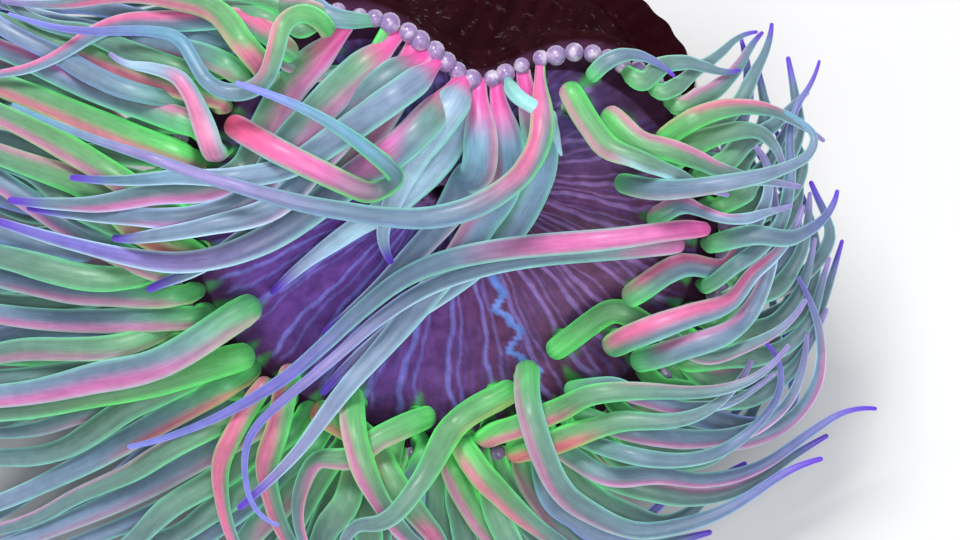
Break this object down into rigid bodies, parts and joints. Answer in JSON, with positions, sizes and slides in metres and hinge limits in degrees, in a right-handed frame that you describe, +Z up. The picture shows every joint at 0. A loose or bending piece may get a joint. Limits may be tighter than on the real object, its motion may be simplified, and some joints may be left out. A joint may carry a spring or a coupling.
{
  "type": "snakelocks sea anemone",
  "caption": "Sea anemone on a round foot: short column, leaning oval mouth disc, and a crown of long tapering green and violet tentacles that lie over it and trail to one side",
  "frame": {"origin": "middle of the underside of the foot, the flat disc that the animal stands on", "axes": "+Z up from the floor, +X to the right seen from the front, +Y to the back; the mouth disc leans towards -Y and most tentacles trail towards -X"},
  "size_m": [0.1539, 0.1167, 0.0639],
  "materials": {
    "column_flesh": "wet, fine grooves",
    "oral_disc": "soft, satin, banded",
    "mouth": "soft, satin",
    "margin": "soft, satin",
    "tentacle": "soft, satin, translucent"
  },
  "bodies": {
    "root": {"back_11": "tentacle", "back_12": "tentacle", "back_2": "tentacle", "back_3": "tentacle", "back_4": "tentacle", "back_5": "tentacle", "back_6": "tentacle", "back_8": "tentacle", "column": "column_flesh", "foot": "column_flesh", "front_10": "tentacle", "front_13": "tentacle", "front_15": "tentacle", "front_6": "tentacle", "front_7": "tentacle", "front_8": "tentacle", "front_9": "tentacle", "left_1": "tentacle", "left_10": "tentacle", "left_12": "tentacle", "left_4": "tentacle", "left_6": "tentacle", "left_9": "tentacle", "margin_01": "margin", "margin_02": "margin", "margin_03": "margin", "margin_04": "margin", "margin_05": "margin", "margin_06": "margin", "margin_07": "margin", "margin_08": "margin", "margin_09": "margin", "margin_10": "margin", "margin_11": "margin", "margin_12": "margin", "margin_13": "margin", "margin_14": "margin", "margin_15": "margin", "mouth": "mouth", "oral_disc": "oral_disc", "over_1": "tentacle", "over_2": "tentacle", "over_3": "tentacle", "over_4": "tentacle", "right_1": "tentacle", "right_10": "tentacle", "right_11": "tentacle", "right_12": "tentacle", "right_13": "tentacle", "right_15": "tentacle", "right_16": "tentacle", "right_19": "tentacle", "right_2": "tentacle", "right_3": "tentacle", "right_5": "tentacle", "right_6": "tentacle", "right_7": "tentacle", "right_9": "tentacle"}
  },
  "joints": []
}
